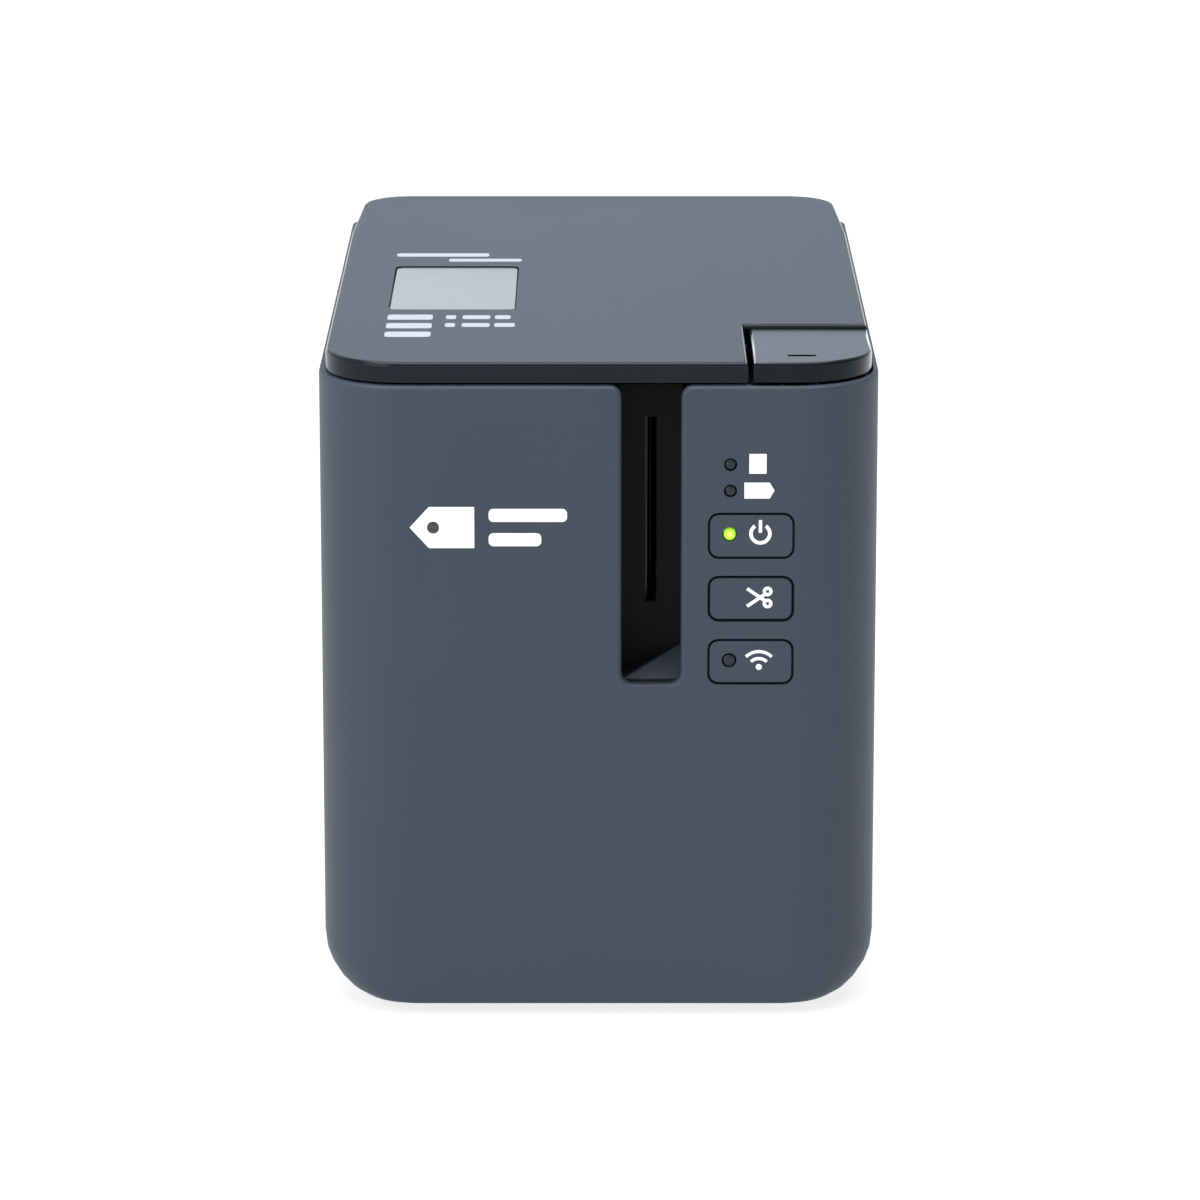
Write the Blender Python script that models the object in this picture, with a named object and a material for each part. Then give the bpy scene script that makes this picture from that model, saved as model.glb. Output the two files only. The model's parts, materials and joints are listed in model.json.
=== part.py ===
"""Desktop label maker: a slate-grey case with a hinged glossy cover, built as separate pieces.

Origin: centre of the footprint on the table. +X is to the right, +Y to the rear, +Z up.
The constants are in millimetres; MM turns them into metres where a mesh is made.
"""

import math

import bmesh
import bpy
from mathutils import Matrix, Vector

MM = 0.001

# Overall size
HALF_WIDTH = 59.0
HALF_DEPTH = 96.0
TOP_REAR = 146.0
COVER_HEIGHT = 4.7
TOP_SLOPE = math.tan(math.radians(1.477))
RIM_REAR = TOP_REAR - COVER_HEIGHT
REAR_DROP = 1.4
FOOT_HEIGHT = 2.0

# Case shell
WALL = 2.4
FRONT_CORNER_R = 18.0
REAR_CORNER_R = 12.0
BOTTOM_CORNER_R = 12.0
BOTTOM_FRONT_R = 1.6
CORNER_FADE = 0.8
CORNER_STEPS = 9
GAP = 0.3
BASE_OPENING = (-38.0, -82.0, 38.0, 82.0)
REAR_OPENING = (-46.0, 9.0, 46.0, 126.0)

# Cover
COVER_HALF_WIDTH = 57.6
COVER_REAR_HALF_WIDTH = 56.3
COVER_FRONT = -94.3
COVER_FRONT_R = 16.5
COVER_REAR_R = 11.0
COVER_TAPER_START = 50.0
COVER_GAP = 0.45
COVER_EDGE_R = 0.9
COVER_WALL = 1.8
NOTCH_X = 31.1
NOTCH_Y = -55.5
NOTCH_GAP = 1.1
NOTCH_REAR_GAP = 0.7
HINGE_Y = 93.2
HINGE_Z = 138.0
KNUCKLE_R = 2.4
KNUCKLE_X = 40.0
KNUCKLE_HALF = 3.6
LUG_THICK = 2.6
PIN_R = 1.2
PIN_BORE_R = 1.5
LINER_INSET = 5.0
LINER_STEP_X = 24.0
LINER_REAR = 80.0

# Window in the cover
WINDOW = (-45.8, -39.6, -18.0, 8.5)
WINDOW_R = 2.0

# Exit slot in the front wall
SLOT_X = 11.0
SLOT_HALF = 6.2
SLOT_BOTTOM = 72.6
SLOT_R = 2.5

# Front buttons: centre heights, shared centre and size
BUTTON_X = 31.9
BUTTON_HALF_W = 8.6
BUTTON_HALF_H = 4.45
BUTTON_R = 1.8
BUTTON_GROOVE = 0.5
BUTTON_Z = {"power": 104.6, "cut": 91.1, "wireless": 77.5}
SWITCH_X = 36.0
KEY_LED_X = 27.4
KEY_LED_R = 1.25
PANEL_LED_R = 1.1
PANEL_LED = {"status_led": (27.5, 119.8), "battery_led": (27.5, 114.2)}

# Cassette bay and deck
DECK_TOP = 131.0
DECK_THICK = 2.4
DECK_HALF = 56.2
DECK_FRONT = -93.2
DECK_REAR = 84.0
DECK_FRONT_R = 15.3
DECK_REAR_R = 7.0
BAY = (-54.6, -54.6, 24.0, 30.6)
BAY_WALL = 1.7
BAY_FLOOR = 84.0
BAY_UNDERSIDE = 82.0
TAPE_X = 11.0
TAPE_LOW = 89.0
TAPE_HIGH = 125.0
CASSETTE_WALL = 1.6
ROLL = Vector((-29.0, -11.0))
ROLL_R = 21.5
ROLL_BORE_R = 9.0
SPOOL_R = 8.0

# Gear train, seen from above: the platen gear, feed gear, pinion and ribbon gear share one layer
MODULE = 1.0
GEAR_LOW = 71.0
GEAR_HIGH = 77.0
PLATEN = Vector((15.8, -42.0))
PLATEN_TEETH = 18
FEED_TEETH = 36
PINION_TEETH = 12
RIBBON_TEETH = 24
PLATEN_TO_FEED = math.radians(140)
FEED_TO_PINION = math.radians(190)
FEED_TO_RIBBON = math.radians(80)
PLATEN_R = 4.6

# Mechanism plate and its posts
PLATE_LOW = 68.3
PLATE_HIGH = 70.3
POSTS = ((-36.0, -56.0), (36.0, -56.0), (-36.0, 26.0), (36.0, 26.0))
SCREW_R = 1.3
SCREW_BORE_R = 1.7
FEET = ((-30.0, -72.0), (30.0, -72.0), (-30.0, 72.0), (30.0, 72.0))
FOOT_R = 5.5

# Cutter: it pivots about a line along Y, below the tape
CUT_X = 13.0
CUT_Z = 76.0
CUT_TILT = math.radians(12)
SECTOR_TEETH = 40
CUT_PINION_TEETH = 10
CUT_GEAR_Y = (-72.7, -70.2)
CUT_PIVOT_Y = -72.0

# Release button, its stem and the latch lever
RELEASE_EDGE_R = 0.7
DASH = (39.4, -87.2, 45.6, -85.4)
DASH_DEPTH = 0.6
STEM_X = 42.0
STEM_Y = -76.5
STEM_HALF = 2.0
SPRING_R = 3.9
SPRING_WIRE_R = 0.35
SPRING_TURNS = 3.5
SPRING_HIGH = 138.1
LEVER_Y = -66.0
LEVER_Z = 118.0
CATCH_Y = -50.0
CATCH_DEPTH = 2.2

# Exit guide behind the slot
GUIDE_HALF = 8.4
GUIDE_WALL = 1.8
GUIDE_FRONT = -93.2
GUIDE_REAR = -79.5
GUIDE_REAR_WALL = 1.5
GUIDE_LOW = 68.0
GUIDE_HIGH = 134.0
GUIDE_SLIT_HALF = 1.2
GUIDE_SLIT = (87.0, 127.0)
RAMP_ANGLE = math.radians(27)

# Main board and the ports on it: centre X, half width, height and depth
BOARD_TOP = 11.6
PORT_LOW = BOARD_TOP + GAP
PORTS = {
    "power_jack": (-33.0, 5.5, 10.9, 12.0),
    "usb_device_port": (-12.0, 6.0, 11.9, 12.0),
    "usb_host_port": (9.0, 7.3, 7.9, 12.0),
    "serial_port": (31.0, 7.0, 13.0, 13.0),
}


def rim(y):
    """Height of the sloping plane that the case's rim lies in."""
    return RIM_REAR + TOP_SLOPE * (y - HALF_DEPTH)


def polar(angle, radius):
    return Vector((math.cos(angle), math.sin(angle))) * radius


FEED = PLATEN + polar(PLATEN_TO_FEED, MODULE * (PLATEN_TEETH + FEED_TEETH) / 2)
PINION = FEED + polar(FEED_TO_PINION, MODULE * (FEED_TEETH + PINION_TEETH) / 2)
RIBBON = FEED + polar(FEED_TO_RIBBON, MODULE * (FEED_TEETH + RIBBON_TEETH) / 2)


# ---------------------------------------------------------------- scene and materials

def start():
    for obj in list(bpy.data.objects):
        bpy.data.objects.remove(obj, do_unlink=True)
    groups = []
    for name in ("label_maker", "cutters"):
        group = bpy.data.collections.new(name)
        bpy.context.scene.collection.children.link(group)
        groups.append(group)
    return groups


def principled(name, color, roughness, metallic=0.0):
    made = bpy.data.materials.new(name)
    made.use_nodes = True
    shader = made.node_tree.nodes["Principled BSDF"]
    shader.inputs["Base Color"].default_value = (*color, 1.0)
    shader.inputs["Roughness"].default_value = roughness
    shader.inputs["Metallic"].default_value = metallic
    return made


PARTS, CUTTERS = start()
SLATE = principled("slate_plastic", (0.070, 0.086, 0.112), 0.6)
GLOSS = principled("gloss_black_plastic", (0.018, 0.020, 0.024), 0.2)
DARK = principled("dark_plastic", (0.020, 0.021, 0.024), 0.55)
CLEAR = principled("window_plastic", (0.50, 0.55, 0.60), 0.1)
NATURAL = principled("natural_plastic", (0.75, 0.74, 0.70), 0.45)
RUBBER = principled("rubber", (0.03, 0.03, 0.03), 0.8)
STEEL = principled("steel", (0.55, 0.56, 0.58), 0.35, 1.0)
ALUMINIUM = principled("aluminium", (0.70, 0.71, 0.73), 0.4, 1.0)
BRASS = principled("brass", (0.65, 0.50, 0.25), 0.35, 1.0)
BOARD = principled("circuit_board", (0.03, 0.18, 0.08), 0.5)
CERAMIC = principled("head_ceramic", (0.55, 0.50, 0.42), 0.3)
CASSETTE = principled("cassette_plastic", (0.60, 0.61, 0.62), 0.5)
TAPE = principled("label_tape", (0.82, 0.84, 0.86), 0.4)
LED_GREEN = principled("led_green", (0.25, 0.75, 0.08), 0.3)
LED_OFF = principled("led_off", (0.05, 0.055, 0.06), 0.3)


# ---------------------------------------------------------------- shape helpers

def add(name, bm, mat, group=None):
    """A named object from a bmesh in millimetres, shaded smooth across gentle angles."""
    bmesh.ops.scale(bm, vec=(MM, MM, MM), verts=bm.verts)
    bmesh.ops.recalc_face_normals(bm, faces=bm.faces)
    mesh = bpy.data.meshes.new(name)
    bm.to_mesh(mesh)
    bm.free()
    mesh.shade_smooth()
    mesh.set_sharp_from_angle(angle=math.radians(35))
    obj = bpy.data.objects.new(name, mesh)
    (group or PARTS).objects.link(obj)
    if mat:
        mesh.materials.append(mat)
    return obj


def cube_bm(low, high):
    bm = bmesh.new()
    bmesh.ops.create_cube(bm, size=1.0)
    low, high = Vector(low), Vector(high)
    bmesh.ops.scale(bm, vec=high - low, verts=bm.verts)
    bmesh.ops.translate(bm, vec=(low + high) / 2, verts=bm.verts)
    return bm


def axis_turn(axis):
    """The turn that takes +Z to the named axis."""
    return {"X": Matrix.Rotation(math.pi / 2, 4, "Y"), "Y": Matrix.Rotation(-math.pi / 2, 4, "X"),
            "Z": Matrix.Identity(4)}[axis]


def rod_bm(axis, place, low, high, radius, steps=16, top_radius=None):
    """A cylinder along an axis. place is its two coordinates across the axis, in X, Y, Z order."""
    bm = bmesh.new()
    bmesh.ops.create_cone(bm, cap_ends=True, segments=steps, radius1=radius,
                          radius2=radius if top_radius is None else top_radius, depth=high - low)
    bmesh.ops.transform(bm, matrix=axis_turn(axis), verts=bm.verts)
    middle = (low + high) / 2
    centre = {"X": (middle, place[0], place[1]), "Y": (place[0], middle, place[1]),
              "Z": (place[0], place[1], middle)}[axis]
    bmesh.ops.translate(bm, vec=centre, verts=bm.verts)
    return bm


def prism_bm(points, axis, low, high):
    """An outline given across an axis, in X, Y, Z order, drawn out from low to high along it."""
    place = {"X": lambda a, b, t: (t, a, b), "Y": lambda a, b, t: (a, t, b),
             "Z": lambda a, b, t: (a, b, t)}[axis]
    bm = bmesh.new()
    face = bm.faces.new([bm.verts.new(place(a, b, low)) for a, b in points])
    made = bmesh.ops.extrude_face_region(bm, geom=[face])
    moved = [v for v in made["geom"] if isinstance(v, bmesh.types.BMVert)]
    bmesh.ops.translate(bm, vec=place(0, 0, high - low), verts=moved)
    return bm


def loft_bm(rings):
    """A closed solid through rings that have the same number of points."""
    bm = bmesh.new()
    rows = [[bm.verts.new(p) for p in ring] for ring in rings]
    count = len(rows[0])
    for lower, upper in zip(rows, rows[1:]):
        for i in range(count):
            j = (i + 1) % count
            bm.faces.new((lower[i], lower[j], upper[j], upper[i]))
    bm.faces.new(rows[0][::-1])
    bm.faces.new(rows[-1])
    return bm


def arc(centre, radius, start, end, steps):
    """Points of a circular arc, angles in degrees."""
    made = []
    for i in range(steps + 1):
        angle = math.radians(start + (end - start) * i / steps)
        made.append((centre[0] + radius * math.cos(angle), centre[1] + radius * math.sin(angle)))
    return made


def rounded(low_x, low_y, high_x, high_y, radius, steps=4):
    """A rectangle with four equal round corners, anticlockwise."""
    return (arc((high_x - radius, low_y + radius), radius, -90, 0, steps)
            + arc((high_x - radius, high_y - radius), radius, 0, 90, steps)
            + arc((low_x + radius, high_y - radius), radius, 90, 180, steps)
            + arc((low_x + radius, low_y + radius), radius, 180, 270, steps))


def resized(area, grow, radius, steps=4):
    """A named area's outline, grown on every side."""
    low_x, low_y, high_x, high_y = area
    return rounded(low_x - grow, low_y - grow, high_x + grow, high_y + grow, radius, steps)


def box(name, low, high, mat):
    return add(name, cube_bm(low, high), mat)


def rod(name, axis, place, low, high, radius, mat, steps=16):
    return add(name, rod_bm(axis, place, low, high, radius, steps), mat)


def combine(target, bm, operation):
    """A Boolean on target with a helper solid, which stays in the cutters' collection."""
    tool = add(f"{target.name}_{operation.lower()}_{len(target.modifiers)}", bm, None, CUTTERS)
    tool.hide_render = True
    tool.display_type = "WIRE"
    step = target.modifiers.new(tool.name, "BOOLEAN")
    step.operation = operation
    step.solver = "EXACT"
    step.object = tool
    return target


def cut(target, *solids):
    for bm in solids:
        combine(target, bm, "DIFFERENCE")
    return target


def join(target, *solids):
    for bm in solids:
        combine(target, bm, "UNION")
    return target


def pivot_at(obj, x, y, z):
    """Puts the object's origin on its joint's axis and leaves its shape where it is."""
    origin = Vector((x, y, z)) * MM
    obj.data.transform(Matrix.Translation(-origin))
    obj.location = origin
    return obj


# ---------------------------------------------------------------- case

def plan_ring(half_x, front, rear, front_r, rear_r, height):
    """One level of the case: height is a number or a function of y."""
    flat = (arc((half_x - front_r, front + front_r), front_r, -90, 0, CORNER_STEPS)
            + arc((half_x - rear_r, rear - rear_r), rear_r, 0, 90, CORNER_STEPS)
            + arc((rear_r - half_x, rear - rear_r), rear_r, 90, 180, CORNER_STEPS)
            + arc((front_r - half_x, front + front_r), front_r, 180, 270, CORNER_STEPS))
    level = height if callable(height) else (lambda y: height)
    return [(x, y, level(y)) for x, y in flat]


def case_solid(inset, top):
    """The case's outer form, or with an inset the hollow inside it.

    The upright corners' radii fade towards the base, where the sides turn in.
    """
    corner = BOTTOM_CORNER_R - inset
    lip = max(BOTTOM_FRONT_R - inset, 0.6)
    rings = []
    for i in range(7):
        angle = math.radians(90 * i / 6)
        rise = corner * (1 - math.cos(angle))
        narrow = corner * (1 - math.sin(angle))
        left = max(lip - rise, 0.0)
        back = lip - math.sqrt(lip * lip - left * left)
        rings.append(plan_ring(HALF_WIDTH - inset - narrow,
                               back + inset - HALF_DEPTH, HALF_DEPTH - inset - back,
                               FRONT_CORNER_R - inset - CORNER_FADE * narrow,
                               REAR_CORNER_R - inset - CORNER_FADE * narrow,
                               FOOT_HEIGHT + inset + rise))
    rings.append(plan_ring(HALF_WIDTH - inset, inset - HALF_DEPTH, HALF_DEPTH - inset,
                           FRONT_CORNER_R - inset, REAR_CORNER_R - inset, top))
    return loft_bm(rings)


def slot_outline():
    """The exit slot: round at the bottom, flared where it meets the rim."""
    left = SLOT_X - SLOT_HALF
    right = SLOT_X + SLOT_HALF
    top = rim(WALL - HALF_DEPTH)
    return ([(right + SLOT_R, top + SLOT_R), (left - SLOT_R, top + SLOT_R)]
            + arc((left - SLOT_R, top - SLOT_R), SLOT_R, 90, 0, 4)
            + arc((left + SLOT_R, SLOT_BOTTOM + SLOT_R), SLOT_R, 180, 270, 4)
            + arc((right - SLOT_R, SLOT_BOTTOM + SLOT_R), SLOT_R, -90, 0, 4)
            + arc((right + SLOT_R, top - SLOT_R), SLOT_R, 180, 90, 4))


def button_outline(height, grow):
    return rounded(BUTTON_X - BUTTON_HALF_W - grow, height - BUTTON_HALF_H - grow,
                   BUTTON_X + BUTTON_HALF_W + grow, height + BUTTON_HALF_H + grow, BUTTON_R + grow)


def release_outline(grow):
    """Plan of the release button: straight at the notch, round at the case's corner."""
    left = NOTCH_X + NOTCH_GAP - grow
    rear = NOTCH_Y - NOTCH_REAR_GAP + grow
    side = COVER_HALF_WIDTH + grow
    front = COVER_FRONT - grow
    radius = COVER_FRONT_R + grow
    return ([(left, front)] + arc((side - radius, front + radius), radius, -90, 0, CORNER_STEPS)
            + [(side, rear), (left, rear)])


def make_case():
    case = add("main_case", case_solid(0.0, rim), SLATE)
    front = (-HALF_DEPTH - 2, 4 - HALF_DEPTH)
    cut(case, case_solid(WALL, lambda y: rim(y) + 6))
    cut(case, prism_bm(resized(BASE_OPENING, 0.0, 4.0), "Z", 0.5, 6.5))
    cut(case, prism_bm(slot_outline(), "Y", *front))
    for height in BUTTON_Z.values():
        cut(case, prism_bm(button_outline(height, BUTTON_GROOVE), "Y", *front))
    for x, z in PANEL_LED.values():
        cut(case, rod_bm("Y", (x, z), *front, PANEL_LED_R + GAP))
    low_x, low_z, high_x, high_z = REAR_OPENING
    cut(case, cube_bm((low_x, HALF_DEPTH - 4, low_z), (high_x, HALF_DEPTH + 2, high_z)))
    cut(case, prism_bm(release_outline(0.35), "Z", rim(COVER_FRONT) - 3.1, TOP_REAR + 4))
    cut(case, cube_bm((-60, 89, RIM_REAR - REAR_DROP), (60, 98, TOP_REAR + 4)))
    for side in (-1, 1):
        for offset in (-1, 1):
            x = side * KNUCKLE_X + offset * (KNUCKLE_HALF + GAP + LUG_THICK / 2)
            join(case, cube_bm((x - LUG_THICK / 2, 90.4, 133.0), (x + LUG_THICK / 2, 94.8, HINGE_Z + 2.0)))
        x = side * KNUCKLE_X
        room = KNUCKLE_HALF + GAP
        cut(case, cube_bm((x - room, 88, HINGE_Z - 3), (x + room, 98, TOP_REAR)))
        cut(case, rod_bm("X", (HINGE_Y, HINGE_Z), x - 9, x + 9, PIN_BORE_R, 12))
        rod("hinge_pin_left" if side < 0 else "hinge_pin_right", "X", (HINGE_Y, HINGE_Z),
            x - room - LUG_THICK + 0.1, x + room + LUG_THICK - 0.1, PIN_R, STEEL, 12)


def make_base():
    base = add("base_plate", prism_bm(resized(BASE_OPENING, 3.5, 5.0), "Z", 4.7, 6.4), DARK)
    join(base, prism_bm(resized(BASE_OPENING, -GAP, 3.7), "Z", FOOT_HEIGHT, 5.2))
    for number, (x, y) in enumerate(POSTS, 1):
        join(base, rod_bm("Z", (x, y), 5.5, PLATE_LOW - GAP, 4.0, 12))
        cut(base, rod_bm("Z", (x, y), 58, PLATE_HIGH, SCREW_BORE_R, 8))
        screw = rod("frame_screw_%d" % number, "Z", (x, y), 60, PLATE_HIGH + GAP + 0.2, SCREW_R, STEEL, 8)
        join(screw, rod_bm("Z", (x, y), PLATE_HIGH + GAP, PLATE_HIGH + 2.0, 2.8, 12))
    for x in (-34, 34):
        for y in (38, 76):
            join(base, rod_bm("Z", (x, y), 6.0, 9.7, 3.0, 8))
    for number, place in enumerate(FEET, 1):
        foot = rod_bm("Z", place, 0.0, FOOT_HEIGHT - GAP, FOOT_R, 20, FOOT_R + 1.0)
        add("foot_%d" % number, foot, RUBBER)


def make_rear():
    """The rear panel with its vents, and the ports on the main board behind it."""
    panel = add("rear_panel", prism_bm(resized(REAR_OPENING, -GAP, 2.0), "Y", 93.0, HALF_DEPTH), SLATE)
    join(panel, prism_bm(resized(REAR_OPENING, 1.2, 2.0), "Y", 91.6, HALF_DEPTH - WALL - GAP))
    for row in range(6):
        z = 62 + 7.5 * row
        cut(panel, cube_bm((-26, 90, z), (26, 98, z + 2.4)))
    box("main_board", (-44, 33, 10.0), (44, 90.5, BOARD_TOP), BOARD)
    for name, (x, half, tall, deep) in PORTS.items():
        low = (x - half, HALF_DEPTH - 0.5 - deep, PORT_LOW)
        high = (x + half, HALF_DEPTH - 0.5, PORT_LOW + tall)
        cut(panel, cube_bm((low[0] - GAP, 88, low[2] - 2 * GAP), (high[0] + GAP, 98, high[2] + GAP)))
        port = box(name, low, high, DARK if name in ("power_jack", "serial_port") else STEEL)
        mouth = (low[1] + 2.0, high[1] + 1.0)
        middle = PORT_LOW + tall / 2
        if name == "power_jack":
            cut(port, rod_bm("Y", (x, middle), *mouth, 3.2, 20))
            join(port, rod_bm("Y", (x, middle), low[1] + 1.0, high[1] - 1.5, 1.0, 8))
        elif name == "usb_device_port":
            cut(port, cube_bm((x - 4.2, mouth[0], middle - 3.9), (x + 4.2, mouth[1], middle + 3.9)))
            join(port, cube_bm((x - 2.8, low[1] + 1.0, middle - 1.6),
                               (x + 2.8, high[1] - 1.0, middle + 1.6)))
        elif name == "usb_host_port":
            cut(port, cube_bm((x - 6.3, mouth[0], middle - 2.7), (x + 6.3, mouth[1], middle + 2.7)))
            join(port, cube_bm((x - 5.6, low[1] + 1.0, middle), (x + 5.6, high[1] - 1.0, middle + 1.9)))
        else:
            cut(port, cube_bm((x - 4.9, mouth[0], middle - 4.0), (x + 4.9, mouth[1], middle + 3.4)))
            cut(port, cube_bm((x - 2.5, mouth[0], middle - 5.2), (x + 2.5, mouth[1], middle - 3.9)))


# ---------------------------------------------------------------- cover

def cover_ring(inset, rise):
    """One level of the cover: rise is above the rim's plane, which the cover follows."""
    side = COVER_HALF_WIDTH - inset
    rear_side = COVER_REAR_HALF_WIDTH - inset
    front = COVER_FRONT + inset
    rear = HALF_DEPTH - inset
    front_r = COVER_FRONT_R - inset
    rear_r = COVER_REAR_R - inset
    notch_x = NOTCH_X - inset
    notch_y = NOTCH_Y + inset
    flat = (arc((front_r - side, front + front_r), front_r, 180, 270, CORNER_STEPS)
            + [(notch_x, front)]
            + arc((notch_x + 1, notch_y - 1), 1, 180, 90, 3)
            + [(side, notch_y), (side, COVER_TAPER_START)]
            + arc((rear_side - rear_r, rear - rear_r), rear_r, 0, 90, CORNER_STEPS)
            + arc((rear_r - rear_side, rear - rear_r), rear_r, 90, 180, CORNER_STEPS)
            + [(-side, COVER_TAPER_START)])
    return [(x, y, rim(y) + rise) for x, y in flat]


def make_cover():
    rings = [cover_ring(0.0, COVER_GAP)]
    for i in range(4):
        angle = math.radians(30 * i)
        rings.append(cover_ring(COVER_EDGE_R * (1 - math.cos(angle)),
                                COVER_HEIGHT - COVER_EDGE_R * (1 - math.sin(angle))))
    cover = add("top_cover", loft_bm(rings), GLOSS)
    cut(cover, loft_bm([cover_ring(COVER_WALL, -2.0), cover_ring(COVER_WALL, COVER_HEIGHT - COVER_WALL)]))
    cut(cover, prism_bm(rounded(*WINDOW, WINDOW_R), "Z", 120, 160))
    for side in (-1, 1):
        x = side * KNUCKLE_X
        join(cover,
             cube_bm((x - KNUCKLE_HALF, HINGE_Y - 2.0, HINGE_Z), (x + KNUCKLE_HALF, HINGE_Y + 1.7, 143.5)),
             rod_bm("X", (HINGE_Y, HINGE_Z), x - KNUCKLE_HALF, x + KNUCKLE_HALF, KNUCKLE_R, 16))
        cut(cover, rod_bm("X", (HINGE_Y, HINGE_Z), x - 9, x + 9, PIN_BORE_R, 12))
    lens = add("window_lens", window_plate(0.3, COVER_HEIGHT - 1.5, COVER_HEIGHT - 0.3), CLEAR)
    join(lens, window_plate(-2.0, COVER_HEIGHT - COVER_WALL - GAP - 0.9, COVER_HEIGHT - COVER_WALL - GAP))
    join(lens, window_plate(0.3, COVER_HEIGHT - 2.4, COVER_HEIGHT - 1.2))
    liner = add("cover_liner", loft_bm([liner_ring(-0.6), liner_ring(1.0)]), DARK)
    cut(liner, prism_bm(resized(WINDOW, 1.5, WINDOW_R + 1.5), "Z", 120, 160))
    for x in (-50.0, -12.0):
        join(liner, cube_bm((x, -44, DECK_TOP + 0.6), (x + 3, 24, 139.0)))
    catch_rear = CATCH_Y + CATCH_DEPTH
    join(liner, cube_bm((STEM_X - 2, CATCH_Y, 121.0), (STEM_X + 2, catch_rear, rim(CATCH_Y) + 0.6)),
         cube_bm((STEM_X - 2, CATCH_Y - 1.2, 121.0), (STEM_X + 2, catch_rear, 123.5)))
    for obj in (cover, lens, liner):
        pivot_at(obj, 0, HINGE_Y, HINGE_Z)


def window_plate(shrink, low, high):
    flat = resized(WINDOW, -shrink, WINDOW_R - shrink)
    return loft_bm([[(x, y, rim(y) + rise) for x, y in flat] for rise in (low, high)])


def liner_ring(rise):
    """The liner's outline keeps clear of the release button and the hinge."""
    side = COVER_HALF_WIDTH - LINER_INSET
    front = COVER_FRONT + LINER_INSET
    front_r = COVER_FRONT_R - LINER_INSET
    rear_r = 4.0
    rear = LINER_REAR - rear_r
    flat = (arc((front_r - side, front + front_r), front_r, 180, 270, 6)
            + [(LINER_STEP_X, front), (LINER_STEP_X, CATCH_Y + 0.5), (side, CATCH_Y + 0.5)]
            + arc((side - rear_r, rear), rear_r, 0, 90, 3)
            + arc((rear_r - side, rear), rear_r, 90, 180, 3))
    return [(x, y, rim(y) + rise) for x, y in flat]


def release_ring(inset, rise):
    """One level of the release button. Its top falls a little towards the rear."""
    return [(x, y, rim(y) + rise(y)) for x, y in release_outline(-inset)]


def release_top(drop):
    span = NOTCH_Y - COVER_FRONT
    return lambda y: COVER_HEIGHT - drop - 0.8 * (y - COVER_FRONT) / span


def make_release():
    """The cover's release button with its stem, its spring and the latch lever that it works."""
    rings = [release_ring(0.0, lambda y: COVER_GAP)]
    for i in range(4):
        angle = math.radians(30 * i)
        rings.append(release_ring(RELEASE_EDGE_R * (1 - math.cos(angle)),
                                  release_top(RELEASE_EDGE_R * (1 - math.sin(angle)))))
    button = add("release_button", loft_bm(rings), GLOSS)
    cut(button, loft_bm([release_ring(1.6, lambda y: -3.0), release_ring(1.6, release_top(2.0))]))
    dash_top = rim(DASH[1]) + release_top(0.0)(DASH[1])
    cut(button, prism_bm(resized(DASH, 0.0, 0.7), "Z", dash_top - DASH_DEPTH, dash_top + 2))
    stem_low = LEVER_Z - 1.5 + GAP
    join(button, cube_bm((STEM_X - STEM_HALF, STEM_Y - 1, stem_low),
                         (STEM_X + STEM_HALF, STEM_Y + 1, 140.0)))
    pivot_at(button, STEM_X, STEM_Y, stem_low)

    points_per_turn = 12
    low = DECK_TOP + SPRING_WIRE_R + GAP
    count = int(SPRING_TURNS * points_per_turn) + 1
    curve = bpy.data.curves.new("release_spring", "CURVE")
    curve.dimensions = "3D"
    curve.bevel_depth = SPRING_WIRE_R * MM
    curve.bevel_resolution = 1
    curve.use_fill_caps = True
    spline = curve.splines.new("POLY")
    spline.points.add(count - 1)
    for i, point in enumerate(spline.points):
        angle = 2 * math.pi * i / points_per_turn
        height = low + (SPRING_HIGH - low) * i / (count - 1)
        place = (STEM_X + SPRING_R * math.cos(angle), STEM_Y + SPRING_R * math.sin(angle), height)
        point.co = (*(Vector(place) * MM), 1.0)
    curve.materials.append(STEEL)
    PARTS.objects.link(bpy.data.objects.new("release_spring", curve))

    across = (STEM_X - STEM_HALF, STEM_X + STEM_HALF)
    lever = rod("latch_lever", "X", (LEVER_Y, LEVER_Z), *across, 3.2, NATURAL, 16)
    join(lever, cube_bm((across[0], -78.5, LEVER_Z - 4), (across[1], LEVER_Y, LEVER_Z - 1.5)),
         cube_bm((across[0], LEVER_Y, LEVER_Z - 1.5), (across[1], -59.0, LEVER_Z + 1.5)),
         cube_bm((across[0], -61.5, LEVER_Z - 1.5), (across[1], -59.0, LEVER_Z + 10)),
         cube_bm((across[0], -61.5, LEVER_Z + 7.5), (across[1], CATCH_Y - 2.6, LEVER_Z + 10)))
    join(lever, rod_bm("X", (LEVER_Y, LEVER_Z), STEM_X - 5.6, STEM_X + 5.6, 1.4, 12))
    pivot_at(lever, STEM_X, LEVER_Y, LEVER_Z)


# ---------------------------------------------------------------- front controls

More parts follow.
